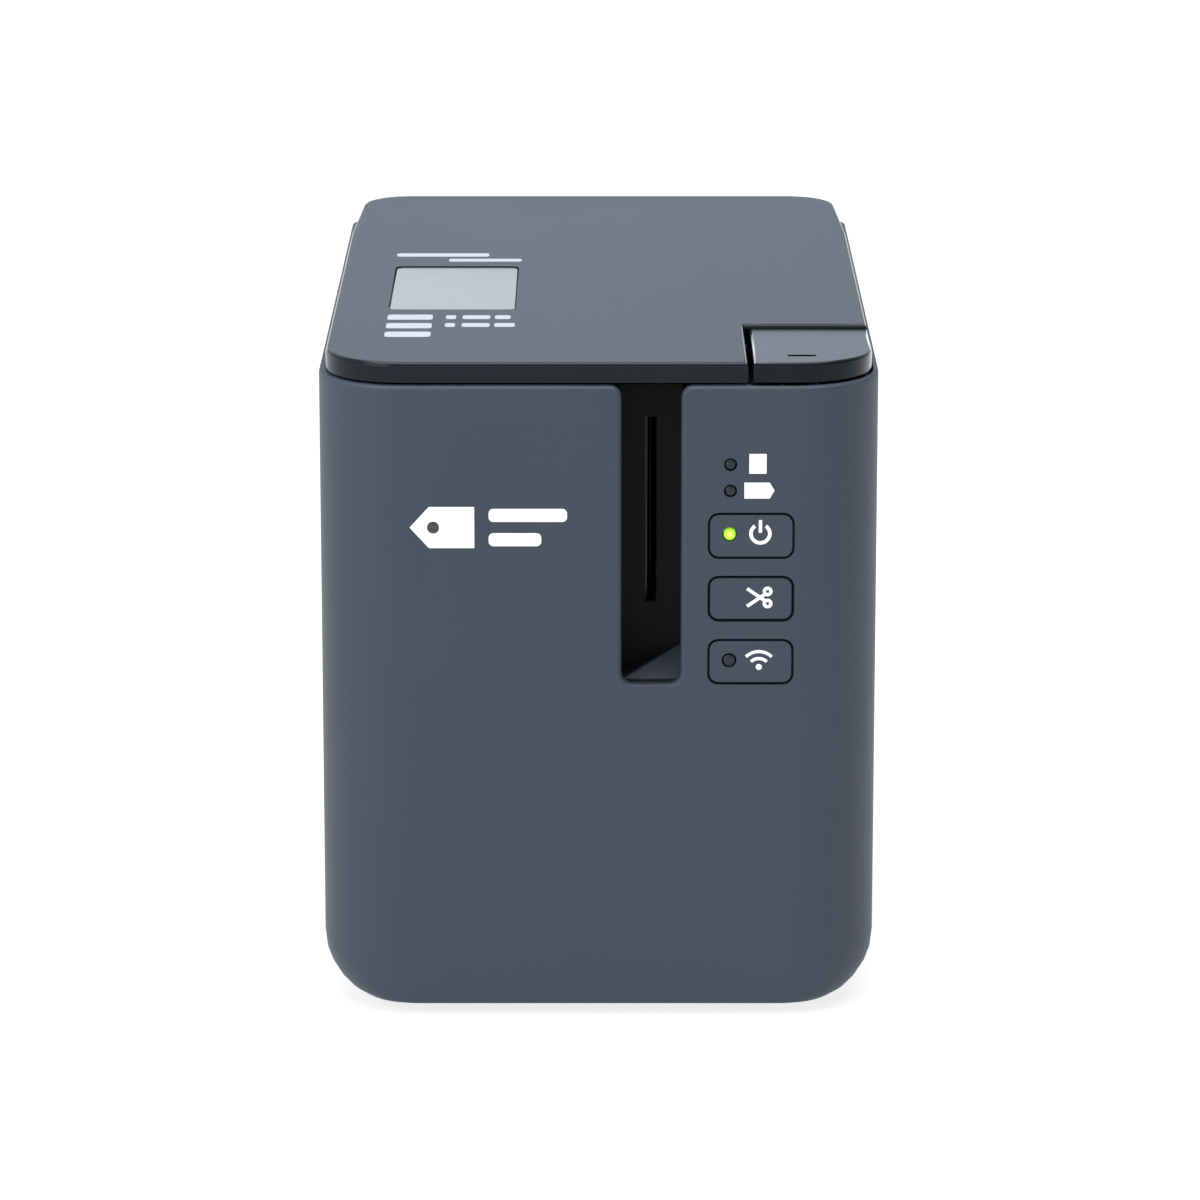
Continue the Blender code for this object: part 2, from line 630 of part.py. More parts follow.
def make_controls():
    for kind, height in BUTTON_Z.items():
        face = prism_bm(button_outline(height, 0.0), "Y", -HALF_DEPTH, -92.5)
        cap = add(kind + "_button", face, SLATE)
        flange = rounded(BUTTON_X - 10, height - 6, BUTTON_X + 10, height + 6, 1, 2)
        join(cap, prism_bm(flange, "Y", -93.2, -91.9))
        join(cap, cube_bm((SWITCH_X - 1.5, -92.4, height - 1.5), (SWITCH_X + 1.5, -90.4, height + 1.5)))
        if kind != "cut":
            led_z = height + 0.3
            cut(cap, rod_bm("Y", (KEY_LED_X, led_z), -98, -90, KEY_LED_R + GAP))
            pipe = rod(kind + "_led", "Y", (KEY_LED_X, led_z), -HALF_DEPTH + 0.05, -91.0, KEY_LED_R,
                       LED_GREEN if kind == "power" else LED_OFF)
            pivot_at(pipe, KEY_LED_X, -HALF_DEPTH, led_z)
        pivot_at(cap, BUTTON_X, -HALF_DEPTH, height)
        switch = box(kind + "_switch", (SWITCH_X - 3, -88.4, height - 3),
                     (SWITCH_X + 3, -86.5, height + 3), DARK)
        join(switch, rod_bm("Y", (SWITCH_X, height), -89.3, -87.5, 1.6, 12))
    for name, (x, z) in PANEL_LED.items():
        rod(name, "Y", (x, z), -HALF_DEPTH + 0.05, -88.0, PANEL_LED_R, LED_OFF)
    box("button_board", (20.5, -86.2, 69), (46, -84.6, 126), BOARD)


# ---------------------------------------------------------------- cassette bay

def make_bay():
    """The deck under the cover, with the well that the cassette drops into."""
    front_x, rear_x = DECK_HALF - DECK_FRONT_R, DECK_HALF - DECK_REAR_R
    front_y, rear_y = DECK_FRONT + DECK_FRONT_R, DECK_REAR - DECK_REAR_R
    deck = (arc((front_x, front_y), DECK_FRONT_R, -90, 0, 8) + arc((rear_x, rear_y), DECK_REAR_R, 0, 90, 4)
            + arc((-rear_x, rear_y), DECK_REAR_R, 90, 180, 4)
            + arc((-front_x, front_y), DECK_FRONT_R, 180, 270, 8))
    bay = add("cassette_bay", prism_bm(deck, "Z", DECK_TOP - DECK_THICK, DECK_TOP), DARK)
    join(bay, prism_bm(resized(BAY, BAY_WALL, 3.0, 2), "Z", BAY_UNDERSIDE, DECK_TOP - 1))
    cut(bay, prism_bm(resized(BAY, 0.0, 1.3, 2), "Z", BAY_FLOOR, 140))
    bay_front = BAY[1]
    cut(bay, cube_bm((2.0, -95, 120), (20.4, bay_front - BAY_WALL - 1.5, 140)))
    cut(bay, cube_bm((TAPE_X - 2.5, bay_front - 4, 86), (TAPE_X + 2.5, bay_front + 1, 140)))
    cut(bay, cube_bm((STEM_X - 3.3, -80, 120), (STEM_X + 3.3, -45, 140)))
    cut(bay, rod_bm("Z", tuple(RIBBON), 80, 90, 4.2, 16), rod_bm("Z", tuple(PLATEN), 80, 90, 2.6, 16))
    for x, y in ((-50, -50), (-50, 12), (19, 26), (-22, -51)):
        join(bay, rod_bm("Z", (x, y), PLATE_HIGH + GAP, BAY_UNDERSIDE + 1, 3.0, 10))
    for side in (-1, 1):
        x = STEM_X + side * 4.6
        join(bay, cube_bm((x - 1.2, LEVER_Y - 3, LEVER_Z - 3.5), (x + 1.2, LEVER_Y + 3, DECK_TOP - 1)))
        cut(bay, rod_bm("X", (LEVER_Y, LEVER_Z), x - 3, x + 3, 1.7, 12))


def make_cassette():
    """The tape cassette, with the notch at its front right where the head and roller sit."""
    outline = [(-54, -54), (-3, -54), (-3, -27), (16, -27), (16, 30), (-54, 30)]
    shell = add("cassette_case", prism_bm(outline, "Z", BAY_FLOOR + GAP, 130.4), CASSETTE)
    wall = CASSETTE_WALL
    hollow = [(x + wall * side_x, y + wall * side_y) for (x, y), (side_x, side_y)
              in zip(outline, ((1, 1), (-1, 1), (-1, 1), (-1, 1), (-1, -1), (1, -1)))]
    cut(shell, prism_bm(hollow, "Z", BAY_FLOOR + 2, 130.4 - wall))
    cut(shell, cube_bm((TAPE_X - 1, -30, TAPE_LOW - 1), (TAPE_X + 1, -24, TAPE_HIGH + 1)))
    cut(shell, rod_bm("Z", tuple(RIBBON), 80, 135, 4.6, 20))
    for z in (BAY_FLOOR - 1, 126):
        cut(shell, rod_bm("Z", tuple(ROLL), z, z + 5, 5.0, 16))
    roll = rod("tape_roll", "Z", tuple(ROLL), TAPE_LOW, TAPE_HIGH, ROLL_R, TAPE, 40)
    cut(roll, rod_bm("Z", tuple(ROLL), TAPE_LOW - 1, TAPE_HIGH + 1, ROLL_BORE_R, 20))
    pivot_at(roll, ROLL.x, ROLL.y, TAPE_LOW)
    spool = rod("ribbon_spool", "Z", tuple(RIBBON), TAPE_LOW, TAPE_HIGH, SPOOL_R, DARK, 24)
    cut(spool, rod_bm("Z", tuple(RIBBON), TAPE_LOW - 1, TAPE_HIGH + 1, 4.4, 20))
    pivot_at(spool, RIBBON.x, RIBBON.y, TAPE_LOW)
    box("label_tape", (TAPE_X - 0.1, -69, TAPE_LOW), (TAPE_X + 0.1, -26.5, TAPE_HIGH), TAPE)


# ---------------------------------------------------------------- print mechanism

def gear_outline(centre, teeth, phase):
    """Straight-flanked teeth with some backlash. phase is the angle of one tooth's middle."""
    pitch_r = MODULE * teeth / 2
    root, tip = pitch_r - 1.2 * MODULE, pitch_r + 0.85 * MODULE
    step = 2 * math.pi / teeth
    points = []
    for tooth in range(teeth):
        middle = phase + step * tooth
        for share, radius in ((-0.31, root), (-0.11, tip), (0.11, tip), (0.31, root)):
            points.append((centre[0] + radius * math.cos(middle + share * step),
                           centre[1] + radius * math.sin(middle + share * step)))
    return points


def mesh_phase(direction, teeth, leader_teeth, leader_phase=0.0):
    """The follower's phase that puts its gap opposite the leader's tooth."""
    lead = ((direction - leader_phase) / (2 * math.pi / leader_teeth)) % 1.0
    return direction + math.pi - (0.5 - lead) * 2 * math.pi / teeth


def make_gear(name, centre, teeth, phase, bore, mat):
    gear = add(name, prism_bm(gear_outline(centre, teeth, phase), "Z", GEAR_LOW, GEAR_HIGH), mat)
    cut(gear, rod_bm("Z", tuple(centre), GEAR_LOW - 1, GEAR_HIGH + 1, bore, 12))
    return pivot_at(gear, centre.x, centre.y, GEAR_LOW)


def make_feed():
    """Motor, gear train, platen roller, print head and the ribbon spindle."""
    plate = box("mechanism_plate", (-52, -61, PLATE_LOW), (42, 31, PLATE_HIGH), STEEL)
    for x, y in POSTS:
        cut(plate, rod_bm("Z", (x, y), PLATE_LOW - 1, PLATE_HIGH + 1, SCREW_BORE_R, 8))
    cut(plate, rod_bm("Z", tuple(PINION), PLATE_LOW - 1, PLATE_HIGH + 1, 4.0, 16))

    motor = rod("feed_motor", "Z", tuple(PINION), 34, PLATE_LOW - GAP, 14.0, STEEL, 32)
    join(motor, rod_bm("Z", tuple(PINION), PLATE_LOW - 1, PLATE_HIGH, 3.4, 16),
         rod_bm("Z", tuple(PINION), PLATE_LOW - 1, GEAR_HIGH + 1, 0.9, 10))

    make_gear("feed_gear", FEED, FEED_TEETH, 0.0, 2.3, NATURAL)
    rod("feed_gear_axle", "Z", tuple(FEED), PLATE_HIGH + GAP, 79.0, 2.0, STEEL, 12)
    make_gear("motor_pinion", PINION, PINION_TEETH,
              mesh_phase(FEED_TO_PINION, PINION_TEETH, FEED_TEETH), 1.2, BRASS)
    make_gear("platen_gear", PLATEN, PLATEN_TEETH,
              mesh_phase(PLATEN_TO_FEED + math.pi, PLATEN_TEETH, FEED_TEETH), 1.8, NATURAL)

    shaft = rod("platen_shaft", "Z", tuple(PLATEN), PLATE_HIGH + GAP, 129.0, 1.5, STEEL, 12)
    pivot_at(shaft, PLATEN.x, PLATEN.y, GEAR_LOW)
    roller = rod("platen_roller", "Z", tuple(PLATEN), 88.0, 125.2, PLATEN_R, RUBBER, 24)
    cut(roller, rod_bm("Z", tuple(PLATEN), 86, 127, 1.8, 12))
    pivot_at(roller, PLATEN.x, PLATEN.y, GEAR_LOW)

    splines = []
    for i in range(6):
        for share, radius in ((0.0, 2.6), (0.2, 3.8), (0.6, 3.8), (0.8, 2.6)):
            angle = math.radians(60 * (i + share))
            splines.append((RIBBON.x + radius * math.cos(angle), RIBBON.y + radius * math.sin(angle)))
    phase = mesh_phase(FEED_TO_RIBBON, RIBBON_TEETH, FEED_TEETH)
    gear = prism_bm(gear_outline(RIBBON, RIBBON_TEETH, phase), "Z", GEAR_LOW, GEAR_HIGH)
    spindle = add("ribbon_spindle", gear, NATURAL)
    join(spindle, prism_bm(splines, "Z", GEAR_HIGH - 1, 120.0),
         rod_bm("Z", tuple(RIBBON), 119.5, 124.0, 2.5, 12, 1.0))
    pivot_at(spindle, RIBBON.x, RIBBON.y, GEAR_LOW)

    holder_low, holder_high = BAY_FLOOR + GAP, 128.2
    holder = box("roller_holder", (21.3, -50, holder_low), (23.5, -34, holder_high), NATURAL)
    for z in (holder_low, 125.8):
        join(holder, cube_bm((12.2, -46.5, z), (22.0, -37.5, z + 2.4)))
    cut(holder, rod_bm("Z", tuple(PLATEN), 80, 132, 1.8, 12))

    box("print_head", (9.9, -47, 88), (10.6, -37, 126), CERAMIC)
    sink = box("head_heat_sink", (7.4, -49, holder_low), (9.6, -33, 127), ALUMINIUM)
    join(sink, cube_bm((-0.5, -49, holder_low), (8.5, -33, holder_low + 2.0)))
    for z in (95, 104, 113, 122):
        join(sink, cube_bm((1.5, -48, z), (8.0, -34, z + 1.6)))


# ---------------------------------------------------------------- cutter and exit

def cutter_point(x, z):
    """A point given upright about the cutter's pivot, leaned to its rest place."""
    return (CUT_X + x * math.cos(CUT_TILT) + z * math.sin(CUT_TILT),
            CUT_Z - x * math.sin(CUT_TILT) + z * math.cos(CUT_TILT))


def make_cutter():
    pitch_r = MODULE * SECTOR_TEETH / 2
    step = 2 * math.pi / SECTOR_TEETH
    down = -math.pi / 2
    outline = []
    for tooth in range(-5, 6):
        middle = down + step * tooth
        for share, radius in ((-0.31, pitch_r - 1.2), (-0.11, pitch_r + 0.85),
                              (0.11, pitch_r + 0.85), (0.31, pitch_r - 1.2)):
            angle = middle + share * step
            outline.append((CUT_X + radius * math.cos(angle), CUT_Z + radius * math.sin(angle)))
    outline += [(CUT_X + 4, CUT_Z - 3), (CUT_X - 4, CUT_Z - 3)]
    arm = add("cutter_arm", prism_bm(outline, "Y", *CUT_GEAR_Y), NATURAL)
    join(arm, rod_bm("Y", (CUT_X, CUT_Z), *CUT_GEAR_Y, 5.0, 20),
         prism_bm([cutter_point(*p) for p in ((-3, 0), (3, 0), (2.4, 30), (-2.4, 30))], "Y", *CUT_GEAR_Y))
    cut(arm, rod_bm("Y", (CUT_X, CUT_Z), -80, -65, 2.1, 16))
    pivot_at(arm, CUT_X, CUT_PIVOT_Y, CUT_Z)

    flat = [cutter_point(*p) for p in ((-3.2, 6), (3.2, 6), (3.2, 50), (-1.6, 51.5), (-3.2, 48))]
    blade = add("cutter_moving_blade", prism_bm(flat, "Y", -74.3, CUT_GEAR_Y[0] - GAP), STEEL)
    pivot_at(blade, CUT_X, CUT_PIVOT_Y, CUT_Z)

    angle = [(4, -57), (4, -75.9), (10.4, -75.9), (10.4, -74.7), (5.2, -74.7), (5.2, -57)]
    add("cutter_fixed_blade", prism_bm(angle, "Z", 84, 128), STEEL)
    rod("cutter_pivot_pin", "Y", (CUT_X, CUT_Z), -75.5, -69.9, 1.8, STEEL, 16)

    pinion_z = CUT_Z - pitch_r - MODULE * CUT_PINION_TEETH / 2
    phase = mesh_phase(down, CUT_PINION_TEETH, SECTOR_TEETH, down)
    flat = gear_outline((CUT_X, pinion_z), CUT_PINION_TEETH, phase)
    pinion = add("cutter_pinion", prism_bm(flat, "Y", *CUT_GEAR_Y), BRASS)
    cut(pinion, rod_bm("Y", (CUT_X, pinion_z), -80, -65, 1.2, 12))
    pivot_at(pinion, CUT_X, CUT_PIVOT_Y, pinion_z)
    motor = rod("cutter_motor", "Y", (CUT_X, pinion_z), -67.5, -44, 9.0, STEEL, 28)
    join(motor, rod_bm("Y", (CUT_X, pinion_z), -73.2, -66, 0.9, 10))

    frame = box("cutter_frame", (2, -69.6, 40), (26, -68.0, 83), STEEL)
    join(frame, cube_bm((2, -69.6, 40), (26, -63, 41.6)))
    cut(frame, rod_bm("Y", (CUT_X, pinion_z), -72, -66, 2.0, 12))


def make_exit():
    """The dark channel behind the slot: a ramp for a floor and a slit for the tape at the rear."""
    left, right = SLOT_X - GUIDE_HALF, SLOT_X + GUIDE_HALF
    guide = box("exit_guide", (left, GUIDE_FRONT, GUIDE_LOW), (right, GUIDE_REAR, GUIDE_HIGH), DARK)
    cut(guide, cube_bm((left + GUIDE_WALL, GUIDE_FRONT - 2, 72.2),
                       (right - GUIDE_WALL, GUIDE_REAR - GUIDE_REAR_WALL, GUIDE_HIGH + 2)))
    slit_low, slit_high = GUIDE_SLIT
    cut(guide, cube_bm((TAPE_X - GUIDE_SLIT_HALF, GUIDE_REAR - 4, slit_low),
                       (TAPE_X + GUIDE_SLIT_HALF, GUIDE_REAR + 2, slit_high)))
    corner = (right - GUIDE_WALL + 0.4, GUIDE_FRONT)
    flat = [(left + GUIDE_WALL - 0.4, GUIDE_FRONT), corner, (corner[0], -82.0)]
    ramp = add("exit_ramp", prism_bm(flat, "Z", GUIDE_LOW, 80), None, CUTTERS)
    ramp.hide_render = True
    ramp.display_type = "WIRE"
    above = cube_bm((-30, -20, 0), (30, 30, 30))
    tilt = (Matrix.Translation((SLOT_X, GUIDE_FRONT, SLOT_BOTTOM + 0.4))
            @ Matrix.Rotation(RAMP_ANGLE, 4, "X"))
    bmesh.ops.transform(above, matrix=tilt, verts=above.verts)
    cut(ramp, above)
    step = guide.modifiers.new("ramp", "BOOLEAN")
    step.operation = "UNION"
    step.solver = "EXACT"
    step.object = ramp


make_case()
make_base()
make_rear()
make_cover()
make_release()
make_controls()
make_bay()
make_cassette()
make_feed()
make_cutter()
make_exit()
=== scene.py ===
"""Looks of a desktop label maker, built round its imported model.

Sizes are in millimetres unless a comment says otherwise: MM turns them into the frame's metres.
+X is to the right, +Y to the rear and +Z up; the front is at y -96.
"""

import json
import math

import bmesh
import bpy
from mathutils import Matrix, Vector


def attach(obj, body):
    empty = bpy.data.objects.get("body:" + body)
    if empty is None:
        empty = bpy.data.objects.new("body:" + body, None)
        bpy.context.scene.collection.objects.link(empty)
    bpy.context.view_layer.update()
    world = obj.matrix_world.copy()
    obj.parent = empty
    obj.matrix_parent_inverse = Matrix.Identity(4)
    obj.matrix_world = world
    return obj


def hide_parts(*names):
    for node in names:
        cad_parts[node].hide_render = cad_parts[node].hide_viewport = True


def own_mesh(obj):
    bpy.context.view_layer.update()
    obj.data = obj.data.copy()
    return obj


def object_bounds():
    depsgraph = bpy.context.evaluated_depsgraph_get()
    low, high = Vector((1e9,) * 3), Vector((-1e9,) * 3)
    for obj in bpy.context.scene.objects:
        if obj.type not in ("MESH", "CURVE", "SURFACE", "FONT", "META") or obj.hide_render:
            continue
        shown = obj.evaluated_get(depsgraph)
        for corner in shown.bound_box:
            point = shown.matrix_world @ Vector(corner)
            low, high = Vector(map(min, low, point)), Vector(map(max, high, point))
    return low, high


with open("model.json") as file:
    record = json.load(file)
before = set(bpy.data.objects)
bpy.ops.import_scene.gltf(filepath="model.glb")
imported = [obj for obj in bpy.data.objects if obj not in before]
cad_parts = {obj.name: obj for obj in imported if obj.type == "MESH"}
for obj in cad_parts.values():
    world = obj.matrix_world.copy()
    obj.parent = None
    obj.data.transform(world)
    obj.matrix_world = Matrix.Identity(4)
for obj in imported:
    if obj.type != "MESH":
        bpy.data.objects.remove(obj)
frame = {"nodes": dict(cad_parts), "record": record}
CAD_LOW, CAD_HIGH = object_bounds()
MM = 0.001


# ---------------------------------------------------------------- sizes

# Planes that details lie on
FRONT = CAD_LOW.y / MM
REAR = CAD_HIGH.y / MM
LID_TOP_REAR = 146.0
TOP_SLOPE = math.tan(math.radians(1.477))
LID_HEIGHT = 4.7
LINER_DROP = 0.6
DECK = 131.0
CASSETTE_TOP = 130.4

# Faces set back from the CAD's, so that paint, labels and screw heads on them stay inside its size
PAINT_ROOM = 0.04
PANEL_ROOM = 0.3
PANEL = REAR - PANEL_ROOM

# Marks on the cover: half their thickness
INK = 0.03

# The camera's lens and sensor, its place in metres, and how far it looks down in degrees
LENS = 164.03
SENSOR = 36.0
CAMERA_PLACE = (0.00028, -1.2114, 0.3535)
CAMERA_DOWN = 13.25

# Area lights: place, target and size in metres, and power in watts
LIGHTS = {
    "softbox_top": ((0.0, -0.05, 1.6), (0, 0, 0.05), (1.6, 1.2), 26.0),
    "softbox_left": ((-0.5, -0.6, 0.4), (-0.03, 0, 0.08), (0.45, 0.6), 1.7),
    "softbox_right": ((1.5, -0.8, 1.0), (0, 0, 0.08), (0.8, 1.2), 0.3),
}

# The studio's colours by the direction's height, from the horizon (0) to straight up (1), and its
# strength to the right
SKY = (
    (0.13, (1.7, 1.72, 1.75)), (0.17, (0.32, 0.38, 0.47)), (0.2, (0.37, 0.445, 0.55)),
    (0.235, (0.58, 0.69, 0.83)), (0.28, (0.80, 0.90, 0.98)), (0.6, (0.84, 0.86, 0.88)),
)
SKY_RIGHT = 0.4

# The floor's width in metres and how much it glows
FLOOR_SIZE = 16.0
FLOOR_GLOW = 0.8

# Vertices closer than this are one, and faces that turn by less than this (degrees) are one
WELD = 0.01
FLAT = 0.6

# Width of the rounded edges on the pieces that show most; the others take EDGE
EDGE = 0.15
EDGES = {
    "main_case": 0.3, "top_cover": 0.3, "release_button": 0.35, "rear_panel": 0.35,
    "power_button": 0.35, "cut_button": 0.35, "wireless_button": 0.35, "cassette_bay": 0.4,
    "cassette_case": 0.5, "cover_liner": 0.35, "window_lens": 0.2, "base_plate": 0.4,
    "exit_guide": 0.3,
}
UNROUNDED = ("label_tape",)

# Edges that turn by more than this (degrees) are rounded, or shaded sharp
SHARP = 35
SHADE_SHARP = 30
SPRING_SHARP = 50
UNROUNDED_SHARP = 32

# Pieces rebuilt with one face set back: the node, its body, and how far the face moves along Y
REBUILT = {
    "main_case": ("case", PAINT_ROOM), "power_button": ("power_key", PAINT_ROOM),
    "cut_button": ("cut_key", PAINT_ROOM), "wireless_button": ("wireless_key", PAINT_ROOM),
    "rear_panel": ("case", -PANEL_ROOM),
}

# The case's rim and the edge of its exit slot are rounded by SOFT_EDGE, to catch the light. The
# rim's sides take only SIDE_SHARE of it. The share grows to 1 round the front corners, while the Y
# of the wall's normal goes from the first value of FORWARD to the second
SOFT_EDGE = 1.0
SIDE_SHARE = 0.3
FORWARD = (0.1, 0.6)
RIM_LOW = 135.0
RIM_SIDE = 50.0
RIM_FRONT = -78.0
RIM_REAR_END = 89.0
WALL_NORMAL_Z = 0.1
TOP_NORMAL_Z = 0.9

# Where the exit slot's edges are looked for: its middle, the reach to each side, the lowest
# height, and the room behind the front
SLOT_X = 11.0
SLOT_REACH = 9.5
SLOT_LOW = 63.0
FRONT_ROOM = 0.1

# The slanted floor at the foot of the slot: height and Y of its front edge, slant in degrees,
# and the outline of its half painted grey as painted light, where light falls on it
RAMP_FOOT = 73.0
RAMP_FRONT = -93.2
RAMP_SLANT = 27
RAMP_PLATE = [(5.4, -93.0), (17.3, -93.0), (17.3, -83.2)]

# Light pipes: centre on the front, radius and body
LEDS = {
    "power_led": ((27.4, 104.9), 1.25, "power_key"),
    "wireless_led": ((27.4, 77.8), 1.25, "wireless_key"),
    "status_led": ((27.5, 119.8), 1.1, "case"),
    "battery_led": ((27.5, 114.2), 1.1, "case"),
}
DOME_BASE = 0.45
DOME_RISE = 0.4
DOME_ROOT = 5.0

# Marks on the front
TAG_HOLE = (-34.6, 106.4)
POWER_MARK = (33.8, 105.1)
SCISSOR_EYES = ((35.4, 92.7), (35.4, 90.1))
WAVES = (33.65, 75.9)
RING_END = 359.9

# The hole in the liner under the window, and the frame round it
LINER_HOLE = (-47.3, -41.1, -16.5, 10.0)
LINER_FRAME = 1.7

# Hubs of the cassette
ROLL = (-29.0, -11.0)
RIBBON = (0.3263, 4.8996)

# Screws: centre on the deck or on the rear panel
DECK_SCREWS = ((-49.0, -76.0), (-49.0, 78.0), (49.0, 78.0), (50.0, -36.0))
PANEL_SCREWS = ((-41.0, 119.0), (41.0, 119.0), (-41.0, 40.0), (41.0, 40.0))

# Sockets in the rear panel: X and Z of the middle
USB_DEVICE = (-12.0, 17.85)
USB_HOST = (9.0, 15.85)
SERIAL = (31.0, 18.4)


def lid_top(y):
    """Height of the cover's top face."""
    return LID_TOP_REAR + TOP_SLOPE * (y - REAR)


def liner_under(y):
    """Height of the underside of the cover's liner."""
    return lid_top(y) - LID_HEIGHT - LINER_DROP


# ---------------------------------------------------------------- camera, light and floor

def make_camera():
    data = bpy.data.cameras.new("camera")
    data.lens = LENS
    data.sensor_width = SENSOR
    data.clip_end = 50.0
    camera = bpy.data.objects.new("camera", data)
    camera.location = CAMERA_PLACE
    camera.rotation_euler = (math.radians(90 - CAMERA_DOWN), 0, 0)
    bpy.context.scene.collection.objects.link(camera)
    bpy.context.scene.camera = camera


def make_light(name, place, target, size, power):
    data = bpy.data.lights.new(name, "AREA")
    data.shape = "RECTANGLE"
    data.size, data.size_y = size
    data.energy = power
    light = bpy.data.objects.new(name, data)
    light.location = place
    aim = Vector(target) - Vector(place)
    light.rotation_euler = aim.to_track_quat("-Z", "Y").to_euler()
    bpy.context.scene.collection.objects.link(light)


def make_world():
    """A white studio, dimmer to the right, with a blue band above the horizon for the cover."""
    world = bpy.data.worlds.new("studio")
    bpy.context.scene.world = world
    world.use_nodes = True
    tree = world.node_tree
    tree.nodes.clear()
    out = tree.nodes.new("ShaderNodeOutputWorld")
    sky = tree.nodes.new("ShaderNodeBackground")
    ramp = tree.nodes.new("ShaderNodeValToRGB")
    split = tree.nodes.new("ShaderNodeSeparateXYZ")
    direction = tree.nodes.new("ShaderNodeTexCoord")
    stops = ramp.color_ramp.elements
    for stop, (place, color) in zip(stops, (SKY[0], SKY[-1])):
        stop.position = place
        stop.color = (*color, 1)
    for place, color in SKY[1:-1]:
        stops.new(place).color = (*color, 1)
    dimmer = tree.nodes.new("ShaderNodeMapRange")
    dimmer.inputs["To Min"].default_value = 1.0
    dimmer.inputs["To Max"].default_value = SKY_RIGHT
    tree.links.new(split.outputs["X"], dimmer.inputs["Value"])
    tree.links.new(dimmer.outputs["Result"], sky.inputs["Strength"])
    tree.links.new(direction.outputs["Generated"], split.inputs[0])
    tree.links.new(split.outputs["Z"], ramp.inputs[0])
    tree.links.new(ramp.outputs[0], sky.inputs["Color"])
    tree.links.new(sky.outputs[0], out.inputs[0])


def make_floor():
    """A pale sweep that glows a little, so that the shadow round the feet stays soft."""
    bpy.ops.mesh.primitive_grid_add(
        x_subdivisions=4, y_subdivisions=4, size=FLOOR_SIZE, location=(0, 0, 0))
    floor = bpy.context.object
    floor.name = "floor"
    paint = bpy.data.materials.new("floor")
    paint.use_nodes = True
    shader = paint.node_tree.nodes["Principled BSDF"]
    shader.inputs["Base Color"].default_value = (0.25, 0.25, 0.25, 1)
    shader.inputs["Roughness"].default_value = 0.9
    shader.inputs["Specular IOR Level"].default_value = 0.1
    shader.inputs["Emission Color"].default_value = (1, 1, 1, 1)
    shader.inputs["Emission Strength"].default_value = FLOOR_GLOW
    floor.data.materials.append(paint)


make_camera()
make_world()
make_floor()
for light_name, light_row in LIGHTS.items():
    make_light(light_name, *light_row)
bpy.context.scene.view_settings.view_transform = "Standard"


# ---------------------------------------------------------------- materials

def link(tree, a, out, b, into):
    tree.links.new(a.outputs[out], b.inputs[into])


def surface(name, color, roughness, metallic=0.0, specular=0.5, grain=0.0, grain_size=0.4,
            tint=0.06, coat=0.0, coat_ior=1.5, glow=0.0):
    """A moulded or machined surface, with slight changes of colour and gloss and a fine grain."""
    made = bpy.data.materials.new(name)
    made.use_nodes = True
    tree = made.node_tree
    shader = tree.nodes["Principled BSDF"]
    shader.inputs["Metallic"].default_value = metallic
    shader.inputs["Specular IOR Level"].default_value = specular
    shader.inputs["Coat Weight"].default_value = coat
    shader.inputs["Coat Roughness"].default_value = 0.08
    shader.inputs["Coat IOR"].default_value = coat_ior
    if glow:
        shader.inputs["Emission Color"].default_value = (*color, 1)
        shader.inputs["Emission Strength"].default_value = glow
    place = tree.nodes.new("ShaderNodeTexCoord")
    cloud = tree.nodes.new("ShaderNodeTexNoise")
    cloud.inputs["Scale"].default_value = 28.0
    cloud.inputs["Detail"].default_value = 3.0
    link(tree, place, "Object", cloud, "Vector")
    shade = tree.nodes.new("ShaderNodeValToRGB")
    shade.color_ramp.elements[0].position = 0.3
    shade.color_ramp.elements[1].position = 0.7
    shade.color_ramp.elements[0].color = (*[c * (1 - tint) for c in color], 1)
    shade.color_ramp.elements[1].color = (*[min(c * (1 + tint), 1) for c in color], 1)
    link(tree, cloud, "Fac", shade, "Fac")
    link(tree, shade, "Color", shader, "Base Color")
    gloss = tree.nodes.new("ShaderNodeMapRange")
    gloss.inputs["To Min"].default_value = roughness * 0.9
    gloss.inputs["To Max"].default_value = min(roughness * 1.1, 1.0)
    link(tree, cloud, "Fac", gloss, "Value")
    link(tree, gloss, "Result", shader, "Roughness")
    if grain:
        fine = tree.nodes.new("ShaderNodeTexNoise")
        fine.inputs["Scale"].default_value = 1 / (grain_size * MM)
        fine.inputs["Detail"].default_value = 2.0
        link(tree, place, "Object", fine, "Vector")
        relief = tree.nodes.new("ShaderNodeBump")
        relief.inputs["Strength"].default_value = 1.0
        relief.inputs["Distance"].default_value = grain * MM
        link(tree, fine, "Fac", relief, "Height")
        link(tree, relief, "Normal", shader, "Normal")
    return made


SLATE = surface("slate", (0.031, 0.043, 0.064), 0.5, specular=0.4, grain=0.05, tint=0.03)
GLOSS = surface("gloss_black", (0.002, 0.006, 0.011), 0.14, specular=0.23, grain=0.004,
                grain_size=3.0)
BUTTON_GLOSS = surface("button_gloss", (0.001, 0.004, 0.008), 0.18, specular=0.1, grain=0.003,
                       grain_size=3.0, coat=1.0, coat_ior=1.2)
DARK = surface("dark_moulded", (0.014, 0.015, 0.018), 0.5, grain=0.03)
# A lighter grey painted onto the black ramp of the exit guide as painted light, where light falls
# into the slot
RAMP_PAINTED_LIGHT = surface("ramp_painted_light", (0.034, 0.042, 0.055), 0.5, specular=0.4, grain=0.04)
